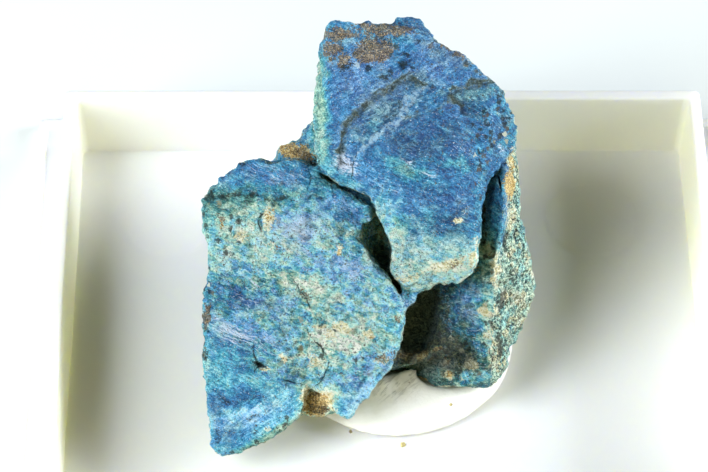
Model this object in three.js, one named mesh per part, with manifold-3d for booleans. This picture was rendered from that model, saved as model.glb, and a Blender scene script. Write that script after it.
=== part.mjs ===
// A broken piece of aerinite rock, pressed into a lump of white putty in a shallow white display tray.
//
// Units are millimetres, +Z is up, +X is to the viewer's right and +Y runs away from the viewer.
// The origin is the centre of the tray's underside.
//
// The rock is one natural stone. It is described in a frame of its own, where X runs to the right
// across its blue face, Y runs up the face and Z comes out of the face. That frame leans back, so
// that the face looks up at somebody standing in front of the tray.

import * as THREE from "three";
import { mergeVertices } from "three/addons/utils/BufferGeometryUtils.js";
import { ImprovedNoise } from "three/addons/math/ImprovedNoise.js";
import Module from "manifold-3d";

// ---- driving dimensions --------------------------------------------------------------------

const TRAY = {
  width: 80, // outside of the upright walls, along X
  depth: 65, // the same, along Y
  corner: 0.8, // radius of the upright corners
  wall: 1.5,
  draft: 0.3, // how far the inside narrows from rim to floor
  floor: 2.0, // top of the floor above the underside
  height: 11.8, // rim above the underside
  flange: 4.2, // how far the base plate stands out past the walls
  flangeTop: 1.0,
  beadWidth: 1.0, // raised edge of the base plate
  beadTop: 1.4,
};

const PUTTY = {
  centre: [1.2, 0.1],
  radius: 14.3,
  edge: 1.5, // height of its rounded edge above the floor
  top: 7.8, // height of its crown above the floor
  clearance: 0.35, // gap to the rock and to the tray
};

const ROCK = {
  centre: [-2.7, 0.3, 23.0], // the origin of the rock's own frame
  leanDeg: 38.3, // how far the face leans back from level
  turnDeg: -1.1, // turn about the upright axis
  rollDeg: 0.8, // turn about the axis that comes out of the face
  foot: 5.6, // height of the level break that the rock stands on
  facet: 2.8, // longest edge of a facet on the face
  backFacet: 4.2, // the same, on the plain back
  backDepth: -8, // everything further back than this is the plain back
};

// ---- manifold-3d helpers ---------------------------------------------------------------------

const wasm = await Module();
wasm.setup();

// A closed geometry as a solid that can be joined and cut.
function solidOf(geometry) {
  const bare = geometry.clone();
  bare.deleteAttribute("normal");
  bare.deleteAttribute("uv");
  const merged = mergeVertices(bare, 1e-4);
  return new wasm.Manifold(
    new wasm.Mesh({
      numProp: 3,
      vertProperties: new Float32Array(merged.attributes.position.array),
      triVerts: new Uint32Array(merged.index.array),
    }),
  );
}

// A solid's surface as an indexed geometry.
function geometryOf(solid) {
  const mesh = solid.getMesh();
  const positions = new Float32Array(mesh.numVert * 3);
  for (let i = 0; i < mesh.numVert; i++) {
    positions.set(mesh.vertProperties.subarray(i * mesh.numProp, i * mesh.numProp + 3), i * 3);
  }
  return new THREE.BufferGeometry()
    .setAttribute("position", new THREE.BufferAttribute(positions, 3))
    .setIndex(new THREE.BufferAttribute(new Uint32Array(mesh.triVerts), 1));
}

function largestBody(solid) {
  return solid.decompose().reduce((a, b) => (a.volume() > b.volume() ? a : b));
}

// ---- lofts: closed solids made of rings of points --------------------------------------------

// rings: arrays of [x, y, z], all with the same number of points, anticlockwise seen from +Z,
// and listed from the lowest Z side to the highest. capOutline gives the flat shape of both ends.
function loft(rings, capOutline) {
  const count = rings[0].length;
  const shape = capOutline.map(([x, y]) => new THREE.Vector2(x, y));
  const cap = THREE.ShapeUtils.triangulateShape(shape, []);
  const index = [];
  const last = (rings.length - 1) * count;
  for (const [a, b, c] of cap) {
    index.push(a, c, b);
    index.push(last + a, last + b, last + c);
  }
  for (let r = 0; r + 1 < rings.length; r++) {
    for (let i = 0; i < count; i++) {
      const j = (i + 1) % count;
      const low = r * count;
      const high = low + count;
      index.push(low + i, low + j, high + j);
      index.push(low + i, high + j, high + i);
    }
  }
  return new THREE.BufferGeometry()
    .setAttribute("position", new THREE.Float32BufferAttribute(rings.flat(2), 3))
    .setIndex(index);
}

// ---- tray --------------------------------------------------------------------------------------

const CORNER_STEPS = 3;

// A rounded rectangle at height z, set in from the outside of the upright walls by inset
// (negative stands out).
function trayRing(inset, z) {
  const halfX = TRAY.width / 2 - inset;
  const halfY = TRAY.depth / 2 - inset;
  const radius = TRAY.corner;
  const corners = [
    [halfX - radius, halfY - radius, 0],
    [radius - halfX, halfY - radius, 90],
    [radius - halfX, radius - halfY, 180],
    [halfX - radius, radius - halfY, 270],
  ];
  return corners.flatMap(([cx, cy, from]) =>
    Array.from({ length: CORNER_STEPS + 1 }, (_, k) => {
      const angle = THREE.MathUtils.degToRad(from + (90 * k) / CORNER_STEPS);
      return [cx + radius * Math.cos(angle), cy + radius * Math.sin(angle), z];
    }),
  );
}

// The tray's wall section, as [inset, height], from the underside out, up over the flange, up the
// wall, over the rim and down to the floor.
function trayGeometry() {
  const { flange, flangeTop, beadWidth, beadTop, floor, height, wall, draft } = TRAY;
  const section = [
    [-flange, 0],
    [-flange, beadTop],
    [beadWidth - flange, beadTop],
    [beadWidth + 0.2 - flange, flangeTop],
    [0, flangeTop],
    [0, height],
    [wall, height],
    [wall + draft, floor],
  ];
  const rings = section.map(([inset, z]) => trayRing(inset, z));
  return loft(rings, trayRing(0, 0));
}

// ---- rock ----------------------------------------------------------------------------------------

// Places the rock's own frame in the tray's.
function rockMatrix() {
  const rad = THREE.MathUtils.degToRad;
  const lean = new THREE.Matrix4().makeRotationX(rad(ROCK.leanDeg));
  const turn = new THREE.Matrix4().makeRotationZ(rad(ROCK.turnDeg));
  const roll = new THREE.Matrix4().makeRotationZ(rad(ROCK.rollDeg));
  const place = new THREE.Matrix4().makeTranslation(...ROCK.centre);
  return place.multiply(turn).multiply(lean).multiply(roll);
}

// A block of stone: its outline across the face, and the depths at which that outline is repeated,
// from the back to the front. size shrinks the outline about the point at, and shift moves it.
function block(points, { at, layers }) {
  const clockwise = THREE.ShapeUtils.isClockWise(points.map(([x, y]) => ({ x, y })));
  const outline = clockwise ? points.toReversed() : points;
  const rings = layers.map(({ z, size = 1, shift = [0, 0], slope = [0, 0] }) =>
    outline.map(([x, y]) => {
      const px = at[0] + (x - at[0]) * size + shift[0];
      const py = at[1] + (y - at[1]) * size + shift[1];
      return [px, py, z + slope[0] * (px - at[0]) + slope[1] * (py - at[1])];
    }),
  );
  return solidOf(loft(rings, outline));
}

// Breaks off everything outside the plane through point, whose normal points out of the stone.
function chip(solid, point, normal) {
  const SIZE = 60;
  const slab = new THREE.BoxGeometry(SIZE, SIZE, SIZE).translate(0, 0, SIZE / 2);
  const out = new THREE.Vector3(...normal).normalize();
  const turn = new THREE.Quaternion().setFromUnitVectors(new THREE.Vector3(0, 0, 1), out);
  slab.applyQuaternion(turn).translate(...point);
  return solid.subtract(solidOf(slab));
}

function ellipsoid(centre, radii) {
  const ball = new THREE.SphereGeometry(1, 16, 10);
  return solidOf(ball.scale(...radii).translate(...centre));
}

// The upper plate, the thickest one: it stands about a millimetre proud of its neighbour.
function upperPlate() {
  const outline = [
    [-4.9, 24.2], [-4.2, 24.8], [-1.5, 24.9], [2.3, 24.9], [5.4, 24.1], [7.5, 23.3],
    [8.9, 22.1], [11.6, 20.9], [13.4, 19.1], [15.2, 17.6], [16.5, 15.6], [17.5, 13.9],
    [17.7, 12.1], [17.6, 10.2], [16.3, 8.6], [15.2, 7.1], [13.8, 4.9], [13.4, 3.1],
    [13.3, 0.6], [13.1, -1.8], [12.7, -3.7], [11.3, -5.3], [9.4, -5.6], [8.4, -5.7],
    [7.1, -6.7], [5.7, -6.9], [4.6, -6.0], [3.0, -4.5], [3.2, -1.3], [2.4, 0.9],
    [1.4, 2.9], [1.1, 4.1], [0.4, 4.7], [-0.9, 5.3], [-2.5, 6.0], [-4.2, 7.0],
    [-5.4, 8.2], [-5.8, 10.5], [-6.1, 14.4], [-5.8, 17.0], [-5.2, 19.3], [-5.5, 21.7],
  ];
  const layers = [
    { z: -17, size: 0.84, shift: [0.4, -0.6] },
    { z: -9, size: 0.97 },
    { z: -0.4 },
    { z: 1.1, size: 0.985, slope: [0.02, -0.03] },
  ];
  let plate = block(outline, { at: [5, 10], layers });
  plate = chip(plate, [-4.6, 14, 0.9], [-0.85, 0.05, 0.55]); // pale break down the left edge
  plate = chip(plate, [14.4, 10.5, 0.9], [0.62, -0.06, 0.78]); // speckled shoulder on the right
  plate = chip(plate, [8, -4.6, 0.9], [0.08, -0.62, 0.78]); // rounded lower lip
  plate = chip(plate, [12.4, 20.0, 0.9], [0.5, 0.6, 0.62]); // worn upper right edge
  plate = chip(plate, [3, 24.8, -3.0], [0.1, 0.82, -0.56]); // back of the top
  plate = chip(plate, [-6.0, 16, -5.0], [-0.86, 0.2, -0.46]); // back of the left
  plate = chip(plate, [17.0, 14.6, -5.0], [0.66, 0.5, -0.55]); // back of the right
  return plate;
}

// The left plate, which thins towards its lower tip.
function leftPlate() {
  const outline = [
    [-5.5, 7.7], [-6.6, 8.5], [-8.0, 9.2], [-9.2, 9.1], [-10.2, 8.5], [-12.9, 8.9],
    [-14.1, 8.6], [-15.4, 7.8], [-16.6, 6.7], [-17.9, 5.4], [-18.9, 4.2], [-18.9, 2.4],
    [-18.3, -1.1], [-18.4, -4.6], [-18.9, -7.0], [-19.1, -11.5], [-19.0, -15.6], [-18.8, -18.0],
    [-18.2, -21.0], [-17.9, -24.6], [-17.1, -25.5], [-15.3, -25.6], [-12.9, -24.7], [-10.5, -23.7],
    [-8.9, -22.6], [-7.2, -21.0], [-6.8, -19.0], [-6.3, -17.9], [-5.6, -17.6], [-4.9, -18.5],
    [-4.5, -19.6], [-3.2, -20.8], [-1.7, -21.5], [-0.8, -20.2], [0.5, -18.9], [2.4, -15.9],
    [4.1, -12.8], [4.6, -9.9], [4.8, -8.4], [4.2, -7.4], [2.5, -4.8], [0.7, -2.4],
    [-0.1, -0.9], [-0.4, 0.6], [0.0, 1.8], [0.9, 2.0], [0.7, 3.4], [-0.1, 4.1],
    [-1.1, 4.5], [-2.8, 5.4], [-4.6, 6.3],
  ];
  const layers = [
    { z: -9.0, size: 0.86, shift: [1.2, 2.2] },
    { z: -4.5, size: 0.975, shift: [0.2, 0.4] },
    { z: -0.7 },
    { z: 0.1, size: 0.985, slope: [0.02, 0.01] },
  ];
  let plate = block(outline, { at: [-7, -8], layers });
  plate = chip(plate, [-16.4, 6.0, -0.2], [-0.5, 0.5, 0.7]); // worn upper left corner
  plate = chip(plate, [2.0, -17.0, -0.9], [0.62, -0.3, 0.72]); // blue break at the lower right
  plate = chip(plate, [-16.8, 5.8, -2.6], [-0.5, 0.42, -0.76]); // back of the upper left corner
  plate = chip(plate, [-19.0, -9, -2.6], [-0.7, -0.05, -0.7]); // back of the left edge
  return plate;
}

// The stone at the bottom of the notch in the left plate's lower edge.
function notchFloor() {
  const outline = [
    [-8.4, -15.5], [-7.9, -20.4], [-6.2, -21.1], [-4.4, -21.0], [-2.6, -20.2], [-1.8, -15.5],
  ];
  return block(outline, { at: [-5, -18], layers: [{ z: -8, size: 0.9 }, { z: -2.1, slope: [0, 0.1] }] });
}

// The stone behind both plates. Its edge shows at the upper left of the rock.
function core() {
  const outline = [
    [-10.4, 9.6], [-13.5, 6.5], [-16.0, 1.0], [-15.8, -7.0], [-13.5, -14.5], [-8.0, -17.5],
    [-2.0, -17.0], [4.0, -15.8], [12.0, -14.0], [16.0, -9.0], [16.6, 0.0], [16.4, 8.0],
    [13.5, 16.0], [7.0, 21.5], [0.0, 22.0], [-4.0, 18.0], [-6.1, 13.4], [-7.2, 12.6],
    [-7.5, 11.4], [-8.9, 10.9], [-10.2, 10.6],
  ];
  const layers = [
    { z: -25, size: 0.55, shift: [1.0, 3.5] },
    { z: -19, size: 0.82, shift: [0.6, 1.6] },
    { z: -10, size: 1.0 },
    { z: -4.2, size: 0.985 },
  ];
  let stone = block(outline, { at: [0, 1], layers });
  stone = chip(stone, [-2, 4, -20.5], [-0.28, 0.3, -0.91]);
  stone = chip(stone, [8, 6, -19.5], [0.36, 0.2, -0.91]);
  return stone.subtract(ellipsoid([1.8, -1.2, -4.2], [1.7, 3.6, 3.4])); // bottom of the wide crack
}

// The right side of the rock: a ridge runs down it, with a dark dipping face to the left of the
// ridge and a rough granular side to the right.
function rightSide() {
  const outline = [
    [15.6, 10.8], [10.0, 11.0], [5.0, 4.0], [3.2, -6.0], [3.0, -16.6], [4.6, -15.7],
    [7.2, -17.4], [9.1, -18.2], [11.6, -17.9], [15.2, -18.0], [16.2, -17.2], [17.0, -15.9],
    [17.6, -13.6], [18.6, -11.8], [19.9, -8.0], [20.4, -6.6], [20.0, -4.9], [19.9, -3.6],
    [19.4, -1.8], [19.2, 0.2], [18.6, 2.2], [18.7, 5.0], [18.4, 8.2], [17.9, 10.4],
  ];
  const layers = [
    { z: -21, size: 0.8, shift: [-0.8, 0.6] },
    { z: -13, size: 1.0 },
    { z: -1.2, size: 0.97, slope: [0, 0.16] },
  ];
  let side = block(outline, { at: [12, -3], layers });
  side = chip(side, [16.2, 6.0, -1.9], [0.93, 0.12, 0.34]); // rough side, upper half
  side = chip(side, [15.0, -9.0, -3.0], [0.84, -0.08, 0.54]); // rough side, lower half
  side = chip(side, [15.2, -9.0, -2.8], [-0.36, -0.1, 0.92]); // dark dipping face
  side = chip(side, [11.0, -9.0, -4.4], [-0.5, -0.08, 0.86]); // its fall into the hollow
  side = chip(side, [20.4, -4, -11.5], [0.8, -0.1, -0.6]); // back of the rough side
  return side.subtract(ellipsoid([14.5, 3.4, -2.5], [1.4, 6.2, 4.8])); // dark slit by the plate
}

// A loose-looking flake along the top edge, and a small wedge left between the two plates.
function flake() {
  const outline = [
    [3.2, 24.2], [7.3, 22.8], [7.7, 23.6], [6.4, 24.9], [5.2, 25.4], [3.6, 25.3],
  ];
  return block(outline, { at: [5.5, 24], layers: [{ z: -4.2, size: 0.75 }, { z: -1.2 }] });
}

function wedge() {
  const outline = [
    [4.3, -7.9], [4.8, -8.8], [5.8, -8.0], [5.8, -6.8], [4.4, -6.0],
  ];
  return block(outline, { at: [5, -7.4], layers: [{ z: -6, size: 1.1 }, { z: -0.9, slope: [-0.5, 0] }] });
}

// Splits each edge that is too long at its middle, in both of the triangles that share it, until
// none is left.
function refine(geometry) {
  const points = Array.from({ length: geometry.attributes.position.count }, (_, i) =>
    new THREE.Vector3().fromBufferAttribute(geometry.attributes.position, i),
  );
  let triangles = Array.from(geometry.index.array);
  for (let changed = true; changed; ) {
    changed = false;
    const middles = new Map();
    const middle = (a, b) => {
      const behind = Math.min(points[a].z, points[b].z) < ROCK.backDepth;
      const longest = behind ? ROCK.backFacet : ROCK.facet;
      if (points[a].distanceTo(points[b]) <= longest) return -1;
      const key = a < b ? `${a},${b}` : `${b},${a}`;
      if (!middles.has(key)) {
        middles.set(key, points.length);
        points.push(points[a].clone().lerp(points[b], 0.5));
      }
      changed = true;
      return middles.get(key);
    };
    const next = [];
    for (let t = 0; t < triangles.length; t += 3) {
      let corner = triangles.slice(t, t + 3);
      let split = corner.map((a, k) => middle(a, corner[(k + 1) % 3]));
      const count = split.filter((m) => m >= 0).length;
      // Turned so that a single split edge comes first, and a single whole edge comes last.
      while ((count === 1 && split[0] < 0) || (count === 2 && split[2] >= 0)) {
        corner = [corner[1], corner[2], corner[0]];
        split = [split[1], split[2], split[0]];
      }
      const [a, b, c] = corner;
      const [ab, bc, ca] = split;
      if (count === 0) next.push(a, b, c);
      if (count === 1) next.push(a, ab, c, ab, b, c);
      if (count === 2) next.push(ab, b, bc, a, ab, bc, a, bc, c);
      if (count === 3) next.push(a, ab, ca, ab, b, bc, ca, bc, c, ab, bc, ca);
    }
    triangles = next;
  }
  const flat = new Float32Array(points.length * 3);
  points.forEach((p, i) => p.toArray(flat, i * 3));
  return new THREE.BufferGeometry()
    .setAttribute("position", new THREE.BufferAttribute(flat, 3))
    .setIndex(triangles);
}

// Moves every point by a smooth random field, so that flat breaks become rough stone. Each layer
// of noise bends space by less than its own wavelength, so no two walls can cross.
function roughen(geometry, layersOfNoise) {
  const noise = new ImprovedNoise();
  const at = geometry.attributes.position;
  const p = new THREE.Vector3();
  const AXIS_OFFSETS = [0, 37.7, 91.3]; // keeps the three components unlike each other
  const AXIS_SHARES = [0.45, 0.45, 1]; // the outline moves less than the face does
  for (let i = 0; i < at.count; i++) {
    p.fromBufferAttribute(at, i);
    const shift = [0, 0, 0];
    for (const { wavelength, amount } of layersOfNoise) {
      const q = p.clone().divideScalar(wavelength);
      AXIS_OFFSETS.forEach((offset, axis) => {
        const value = noise.noise(q.x + offset, q.y + offset * 0.7, q.z + offset * 1.3);
        shift[axis] += amount * AXIS_SHARES[axis] * value;
      });
    }
    at.setXYZ(i, p.x + shift[0], p.y + shift[1], p.z + shift[2]);
  }
  return geometry;
}

function rockGeometry(place) {
  const hollow = ellipsoid([5.4, -9.4, -3.4], [3.5, 4.9, 7.0]); // dark hollow under the upper plate
  let stone = core().add(rightSide()).subtract(hollow);
  stone = stone.add(leftPlate()).add(notchFloor()).add(upperPlate()).add(flake()).add(wedge());

  // The level break that the rock stands on, worked out in the tray's frame.
  const toRock = place.clone().invert();
  const below = new THREE.Vector3(ROCK.centre[0], ROCK.centre[1], ROCK.foot).applyMatrix4(toRock);
  const down = new THREE.Vector3(0, 0, -1).transformDirection(toRock);
  stone = largestBody(chip(stone, below.toArray(), down.toArray()));

  const fine = refine(geometryOf(stone));
  return roughen(fine, [
    { wavelength: 9, amount: 0.9 },
    { wavelength: 3.2, amount: 0.5 },
  ]);
}

// ---- putty -----------------------------------------------------------------------------------

const PUTTY_SIDES = 40;

// A pressed lump: a round edge, a slope and a low crown, before the rock is pressed in.
function puttyLump() {
  const { radius, edge, top } = PUTTY;
  const section = [
    [0, 0],
    [radius - 0.7, 0],
    [radius, edge * 0.35],
    [radius - 0.2, edge * 0.8],
    [radius - 1.0, edge * 1.25],
    [radius * 0.8, edge * 1.9],
    [radius * 0.62, top * 0.62],
    [radius * 0.42, top * 0.86],
    [radius * 0.2, top * 0.97],
    [0, top],
  ].map(([x, z]) => new THREE.Vector2(x, z));
  const lump = new THREE.LatheGeometry(section, PUTTY_SIDES).rotateX(Math.PI / 2);
  const [x, y] = PUTTY.centre;
  return solidOf(lump.translate(x, y, TRAY.floor + PUTTY.clearance));
}

// The rock's print in the putty: the rock itself, swollen by the clearance.
function rockPrint(rock, place) {
  const SWELL = PUTTY.clearance * 1.6; // at a sharp corner, the walls move out by less than this
  const print = rock.clone();
  print.computeVertexNormals();
  const { position, normal } = print.attributes;
  const p = new THREE.Vector3();
  const n = new THREE.Vector3();
  for (let i = 0; i < position.count; i++) {
    n.fromBufferAttribute(normal, i);
    p.fromBufferAttribute(position, i).addScaledVector(n, SWELL);
    position.setXYZ(i, p.x, p.y, p.z);
  }
  return solidOf(print.applyMatrix4(place));
}

// ---- the object ------------------------------------------------------------------------------

const material = (color, roughness) =>
  new THREE.MeshStandardMaterial({ color, roughness, metalness: 0, flatShading: true });

function named(name, geometry, look) {
  const mesh = new THREE.Mesh(geometry, look);
  mesh.name = name;
  return mesh;
}

const place = rockMatrix();
const rock = rockGeometry(place);
const print = rockPrint(rock, place);

const specimen = new THREE.Group();
specimen.applyMatrix4(place);
specimen.add(named("aerinite_rock", rock, material(0x4f8fc4, 0.8)));

const object = new THREE.Group();
object.add(named("display_tray", trayGeometry(), material(0xf4f3ee, 0.35)));
object.add(
  named("putty", geometryOf(largestBody(puttyLump().subtract(print))), material(0xf2efe6, 0.7)),
);
object.add(specimen);

export default object;
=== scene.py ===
"""A broken piece of aerinite rock, pressed into white putty in a shallow white display tray.

Places on the stone are given in its own frame, in millimetres: u runs to the right across its blue
face, v runs up the face and w comes out of the face. Everything else is in the tray's frame.
"""

import itertools
import math
from types import SimpleNamespace

import bmesh
import bpy
import numpy as np
from mathutils import Matrix, Vector
from mathutils.geometry import delaunay_2d_cdt


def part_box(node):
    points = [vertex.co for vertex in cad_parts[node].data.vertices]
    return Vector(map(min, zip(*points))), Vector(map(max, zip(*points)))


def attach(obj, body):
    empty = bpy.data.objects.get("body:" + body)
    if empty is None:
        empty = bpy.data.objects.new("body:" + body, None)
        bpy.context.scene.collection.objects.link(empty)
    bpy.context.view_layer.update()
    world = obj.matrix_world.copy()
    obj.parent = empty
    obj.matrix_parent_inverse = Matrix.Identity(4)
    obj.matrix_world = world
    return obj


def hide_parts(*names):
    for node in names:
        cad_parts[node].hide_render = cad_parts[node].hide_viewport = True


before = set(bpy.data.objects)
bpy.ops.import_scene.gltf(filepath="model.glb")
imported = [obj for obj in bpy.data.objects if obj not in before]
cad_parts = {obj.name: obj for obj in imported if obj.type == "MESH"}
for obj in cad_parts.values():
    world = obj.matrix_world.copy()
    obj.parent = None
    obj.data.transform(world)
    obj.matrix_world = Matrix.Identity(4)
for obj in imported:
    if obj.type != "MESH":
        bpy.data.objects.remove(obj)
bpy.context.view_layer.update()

MM = 0.001
SEED = 11

# ---- where the stone is ----

STONE_CENTRE = (-2.7, 0.3, 23)
STONE_LEAN = 38.3  # degrees that its face leans back from level
STONE_TURN = -1.1
STONE_ROLL = 0.8


def turned(*turns):
    """The rotation that several turns make, each (degrees, axis), the last one first."""
    rotation = Matrix.Identity(3)
    for degrees, axis in turns:
        rotation = rotation @ Matrix.Rotation(math.radians(degrees), 3, axis)
    return rotation


# the stone's u, v and w directions, as columns
AXES = np.array(turned((STONE_TURN, "Z"), (STONE_LEAN, "X"), (STONE_ROLL, "Z")))


def to_stone(points):
    """Points in the tray's frame, in metres, as u, v and w in millimetres."""
    return (points / MM - np.array(STONE_CENTRE)) @ AXES


def from_stone(points):
    return (points @ AXES.T + np.array(STONE_CENTRE)) * MM


# ---- camera and lights ----

CAMERA_AT = (-8.2, -214.1, 294.3)
CAMERA_ELEVATION = 51.69
CAMERA_YAW = 1.13
CAMERA_ROLL = -0.83
CAMERA_LENS = 151.1
CAMERA_SENSOR = 36
CAMERA_CLIP = 0.01

LIGHT_DISTANCE = 0.5
DAYLIGHT = (0.94, 1, 1.09)
WARM = (1, 0.88, 0.35)
LIGHTS = [
    # name, azimuth, elevation, width, height, power, colour
    ("right_box", 95, 17, 0.26, 0.26, 4.75, DAYLIGHT),
    ("left_box", -65, 34, 0.27, 0.5, 5, DAYLIGHT),
    ("warm_fill", 8, 36, 0.26, 0.26, 0.36, WARM),
]
WORLD_COLOUR = (1, 0.9, 0.5, 1)
WORLD_STRENGTH = 0.02


def make_camera():
    camera = link(bpy.data.objects.new("camera", bpy.data.cameras.new("camera")))
    camera.data.lens = CAMERA_LENS
    camera.data.sensor_width = CAMERA_SENSOR
    camera.data.clip_start = CAMERA_CLIP
    camera.data.dof.use_dof = False
    aim = turned((-CAMERA_YAW, "Z"), (90 - CAMERA_ELEVATION, "X"), (-CAMERA_ROLL, "Z"))
    camera.matrix_world = Matrix.Translation(Vector(CAMERA_AT) * MM) @ aim.to_4x4()
    bpy.context.scene.camera = camera


def soft_light(name, azimuth, elevation, width, height, power, colour):
    """A soft box aimed at the tray. Azimuth 0 is in front of the tray and 90 is to its right."""
    light = bpy.data.lights.new(name, "AREA")
    light.shape = "RECTANGLE"
    light.size = width
    light.size_y = height
    light.energy = power
    light.color = colour
    lamp = link(bpy.data.objects.new(name, light))
    away = turned((azimuth, "Z"), (-elevation, "X")) @ Vector((0, -1, 0))
    lamp.location = away * LIGHT_DISTANCE
    lamp.rotation_euler = away.to_track_quat("Z", "Y").to_euler()


def make_lights():
    for light in LIGHTS:
        soft_light(*light)
    world = bpy.data.worlds.new("studio")
    bpy.context.scene.world = world
    world.use_nodes = True
    background = world.node_tree.nodes["Background"]
    background.inputs["Color"].default_value = WORLD_COLOUR
    background.inputs["Strength"].default_value = WORLD_STRENGTH
    bpy.context.scene.view_settings.view_transform = "Standard"


# ---- small helpers ----

def link(obj):
    bpy.context.scene.collection.objects.link(obj)
    return obj


def mesh_object(name, vertices, faces):
    mesh = bpy.data.meshes.new(name)
    mesh.from_pydata([tuple(v) for v in vertices], [], faces)
    mesh.update()
    return link(bpy.data.objects.new(name, mesh))


def apply_modifiers(obj):
    depsgraph = bpy.context.evaluated_depsgraph_get()
    mesh = bpy.data.meshes.new_from_object(obj.evaluated_get(depsgraph))
    obj.modifiers.clear()
    obj.data = mesh


def read_vertices(obj, field):
    values = np.empty(len(obj.data.vertices) * 3, np.float32)
    obj.data.vertices.foreach_get(field, values)
    return values.reshape(-1, 3).astype(float)


def get_points(obj):
    return read_vertices(obj, "co")


def get_normals(obj):
    return read_vertices(obj, "normal")


def set_points(obj, points):
    obj.data.vertices.foreach_set("co", points.astype(np.float32).ravel())
    obj.data.update()


def relax(obj, rounds):
    """Evens out the surface by moving each vertex to the middle of its neighbours."""
    edges = np.empty(len(obj.data.edges) * 2, np.int32)
    obj.data.edges.foreach_get("vertices", edges)
    first, second = edges.reshape(-1, 2).T
    points = get_points(obj)
    count = np.bincount(edges, minlength=len(points))[:, None]
    for _ in range(rounds):
        total = np.zeros_like(points)
        np.add.at(total, first, points[second])
        np.add.at(total, second, points[first])
        points = total / count
    set_points(obj, points)


def store(obj, name, values):
    """Keeps one number, or three, for each vertex, for the material to read."""
    kind, field = ("FLOAT_VECTOR", "vector") if values.ndim == 2 else ("FLOAT", "value")
    layer = obj.data.attributes.new(name, kind, "POINT")
    layer.data.foreach_set(field, values.astype(np.float32).ravel())


def smooth_shade(obj):
    obj.data.polygons.foreach_set("use_smooth", [True] * len(obj.data.polygons))
    obj.data.update()


def smoothstep(low, high, x):
    t = np.clip((x - low) / (high - low), 0, 1)
    return t * t * (3 - 2 * t)


# ---- noise ----

# These turn each corner of a grid into a number of its own.
CORNER_FACTORS = (73856093, 19349663, 83492791)
SEED_FACTOR = 7919
SCRAMBLES = [(13, 1274126177), (15, 2246822519)]
LOW_WORD = 0xFFFFFFFF
SEED_SHIFT = 17.31  # sets one noise apart from another
NOISE_GAIN = 1.7


def corner_slopes(corners, seed):
    """Three random slopes, each from -1 to 1, for each of these corners."""
    key = np.bitwise_xor.reduce(corners * np.array(CORNER_FACTORS), axis=1) ^ (seed + SEED) * SEED_FACTOR
    for shift, factor in SCRAMBLES:
        key = (key ^ (key >> shift)) * factor & LOW_WORD
    return [(key >> shift & 1023) / 511.5 - 1 for shift in (0, 10, 20)]


def noise(points, wavelength, seed):
    """Smooth random values, mostly between -1 and 1, for points in millimetres."""
    q = points / wavelength + seed * SEED_SHIFT
    cell = np.floor(q).astype(np.int64)
    part = q - cell
    fade = part ** 3 * (part * (part * 6 - 15) + 10)
    total = np.zeros(len(q))
    for corner in itertools.product((0, 1), repeat=3):
        slope = corner_slopes(cell + corner, seed)
        value = sum(slope[k] * (part[:, k] - corner[k]) for k in range(3))
        weight = np.prod([fade[:, k] if corner[k] else 1 - fade[:, k] for k in range(3)], axis=0)
        total += value * weight
    return total * NOISE_GAIN


def layered(points, wavelength, layers, seed):
    """Noise with finer and weaker noise added to it."""
    return sum(noise(points, wavelength / 2 ** k, seed + k) / 2 ** k for k in range(layers))


def wander(points, wavelength, seed):
    """Two noises, to push places on the face about."""
    return np.stack([noise(points, wavelength, seed), noise(points, wavelength, seed + 1)], 1)


# ---- marks on the stone's face ----

def blob(uv, at, size, angle=0, edge=0.5):
    """1 inside an ellipse on the face, and 0 outside it, with a soft edge."""
    a = math.radians(angle)
    du = uv[:, 0] - at[0]
    dv = uv[:, 1] - at[1]
    x = (du * math.cos(a) + dv * math.sin(a)) / size[0]
    y = (dv * math.cos(a) - du * math.sin(a)) / size[1]
    return 1 - smoothstep(1 - edge, 1 + edge, np.hypot(x, y))


def nearest(pairs):
    """From pairs of distances and values, the smallest distance at each place and its value."""
    best, kept = pairs[0]
    for distance, value in pairs[1:]:
        kept = np.where(distance < best, value, kept)
        best = np.minimum(distance, best)
    return best, kept


def to_line(uv, points):
    """Distance from a line of straight stretches, and that distance signed, positive on its left."""
    pairs = []
    for a, b in itertools.pairwise(np.array(points, float)):
        run = b - a
        along = np.clip(((uv - a) @ run) / (run @ run), 0, 1)
        gap = uv - a - along[:, None] * run
        distance = np.hypot(gap[:, 0], gap[:, 1])
        pairs.append((distance, distance * np.sign(run[0] * gap[:, 1] - run[1] * gap[:, 0])))
    return nearest(pairs)


def stripe(uv, points, width):
    """1 along a line, and 0 from width away from it."""
    return 1 - smoothstep(0, width, to_line(uv, points)[0])


def shadow_line(uv, points, sharp, soft):
    """1 along a line, fading quickly on its left but slowly on its right."""
    distance, signed = to_line(uv, points)
    return 1 - smoothstep(0, np.where(signed > 0, sharp, soft), distance)


def blobs(uv, places, edge):
    """The strongest of several blobs, each (u, v, half length, half width, angle, strength)."""
    total = np.zeros(len(uv))
    for u, v, length, width, angle, strength in places:
        total = np.maximum(total, strength * blob(uv, (u, v), (length, width), angle, edge))
    return total


def marks(uv, name):
    edge, places = MARKS[name]
    return blobs(uv, places, edge)


# Steps in the face, which falls away on the right of each line, then rises again.
STEPS = [
    # points, drop, how far off it is level again
    ([(-3.1, 9.6), (-2.8, 12.3), (-2.2, 13.1), (-0.6, 15.1), (0.7, 16.2), (2.6, 17.2),
      (3.9, 18.1), (5.2, 18.6), (7.2, 17.7)], 0.4, 3),
    ([(11, 14.8), (9.8, 16), (10.2, 17), (12, 17.7), (14.2, 18), (16.2, 17.6)], 0.35, 2.2),
    ([(-18.6, 4.8), (-16.6, 5), (-14.5, 4.3), (-12, 4.4), (-9.3, 4), (-6.6, 4.4)], 0.4, 2.6),
    ([(-0.9, -20.6), (-0.6, -18.4), (-0.9, -17), (0.4, -15.9), (2.2, -15.2)], 0.3, 2.6),
    ([(-18, -20.6), (-14, -19.8), (-10.5, -18.9), (-7.4, -18.2)], 0.25, 2.2),
]

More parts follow.
